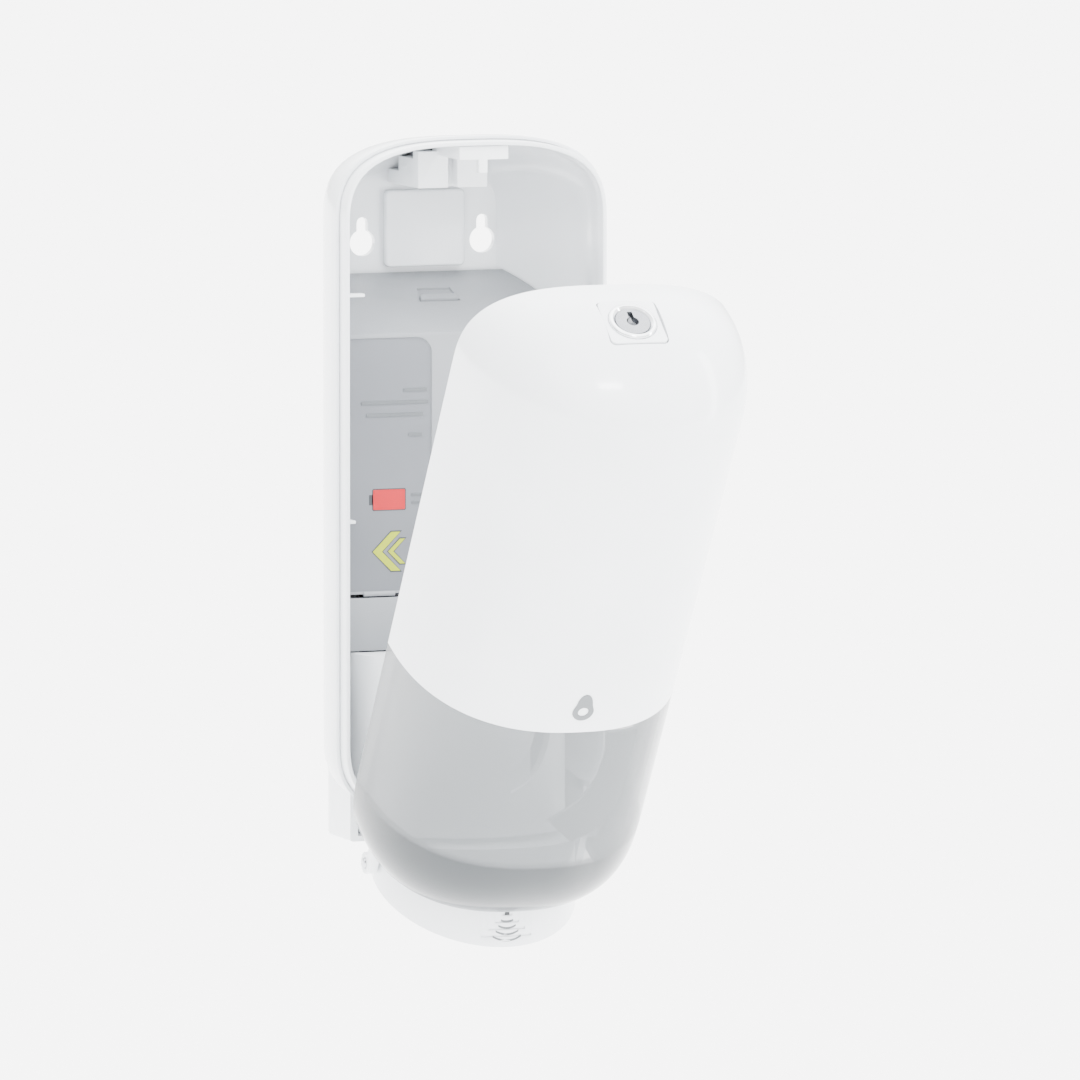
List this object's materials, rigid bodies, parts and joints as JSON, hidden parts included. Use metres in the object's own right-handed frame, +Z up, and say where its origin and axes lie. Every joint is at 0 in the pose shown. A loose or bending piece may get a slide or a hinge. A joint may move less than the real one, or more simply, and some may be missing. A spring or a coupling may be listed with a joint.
{
  "type": "wall mounted soap dispenser",
  "caption": "Wall mounted touch-free foam soap dispenser with a tip-forward cover, smoked window, key lock, battery door, refill dock and motor-driven pump.",
  "frame": {"origin": "on the wall plane, midway between the centres of the two keyholes", "axes": "+Z up, -Y out of the wall towards the user, +X to the right as seen from the front"},
  "size_m": [0.105, 0.2488, 0.2952],
  "materials": {
    "white_shell": "gloss",
    "white_inner": "satin",
    "grey_inner": "satin",
    "grey_door": "satin",
    "cell_sleeve": "gloss",
    "bright_metal": "satin",
    "motor_can": "satin",
    "brass": "satin",
    "gear_plastic": "satin",
    "circuit_board": "satin",
    "seal_rubber": "matte",
    "dark_lens": "gloss",
    "clear_lens": "gloss",
    "smoked_window": "gloss",
    "chrome_trim": "polished",
    "lock_steel": "satin",
    "red_mark": "satin",
    "green_mark": "satin",
    "grey_mark": "satin"
  },
  "bodies": {
    "housing": {"back_housing": "white_shell", "case_tabs": "white_inner", "catch_bracket": "white_inner", "battery_box": "grey_inner", "battery_cells": "cell_sleeve", "battery_contacts": "bright_metal", "drive_cover": "grey_door", "pump_dock": "white_inner", "neck_seal": "seal_rubber", "drive_frame": "grey_inner", "drive_motor": "motor_can", "gear_shafts": "bright_metal", "control_board": "circuit_board", "sensor_collar": "white_shell", "sensor_lens": "dark_lens", "sensor_board": "circuit_board", "sensor_symbol": "grey_mark", "indicator_lens": "clear_lens", "nozzle_guide": "white_inner", "collar_screws": "bright_metal", "dock_screws": "bright_metal", "hinge_pins": "bright_metal"},
    "cover": {"cover_shell": "white_shell", "cover_window": "smoked_window", "refill_rib": "grey_inner", "hinge_arms": "white_inner", "front_badge": "grey_mark", "lock_plate": "white_shell", "lock_ring": "chrome_trim", "lock_body": "grey_inner"},
    "lock": {"lock_barrel": "lock_steel", "lock_hook": "bright_metal", "hook_nut": "bright_metal"},
    "door": {"battery_door": "grey_door", "door_clips": "white_inner", "door_battery_mark": "red_mark", "door_arrow_mark": "green_mark", "door_label_bars": "grey_mark"},
    "pusher": {"pump_pusher": "white_inner"},
    "output_gear": {"output_gear": "gear_plastic"},
    "reduction_gear": {"reduction_gear": "gear_plastic"},
    "motor_pinion": {"motor_pinion": "brass"}
  },
  "joints": [
    {"name": "cover_hinge", "type": "hinge", "parent": "housing", "child": "cover", "pos_m": [0, -0.057, -0.224], "axis": [1, 0, 0], "range_deg": [-33, 42]},
    {"name": "lock_turn", "type": "hinge", "parent": "cover", "child": "lock", "pos_m": [0, -0.2294, -0.0114], "axis": [0, -0.6157, 0.788], "range_deg": [-67, 0]},
    {"name": "door_tilt", "type": "hinge", "parent": "housing", "child": "door", "pos_m": [0, -0.04, -0.1265], "axis": [1, 0, 0], "range_deg": [0, 25]},
    {"name": "pump_slide", "type": "slide", "parent": "housing", "child": "pusher", "axis": [0, 0, 1], "range_m": [0, 0.009]},
    {"name": "output_turn", "type": "hinge", "parent": "housing", "child": "output_gear", "pos_m": [0, -0.03367, -0.18286], "axis": [1, 0, 0], "range_deg": [-110, 2]},
    {"name": "reduction_turn", "type": "hinge", "parent": "housing", "child": "reduction_gear", "pos_m": [0, -0.02208, -0.17475], "axis": [1, 0, 0], "range_deg": [-4, 272]},
    {"name": "pinion_turn", "type": "hinge", "parent": "housing", "child": "motor_pinion", "pos_m": [0, -0.015, -0.187], "axis": [1, 0, 0], "range_deg": [-680, 8]}
  ],
  "couplings": [
    {"joint": "output_turn", "follows": "pump_slide", "rad_per_m": -208.33},
    {"joint": "reduction_turn", "follows": "pump_slide", "rad_per_m": 520.83},
    {"joint": "pinion_turn", "follows": "pump_slide", "rad_per_m": -1302.1}
  ]
}
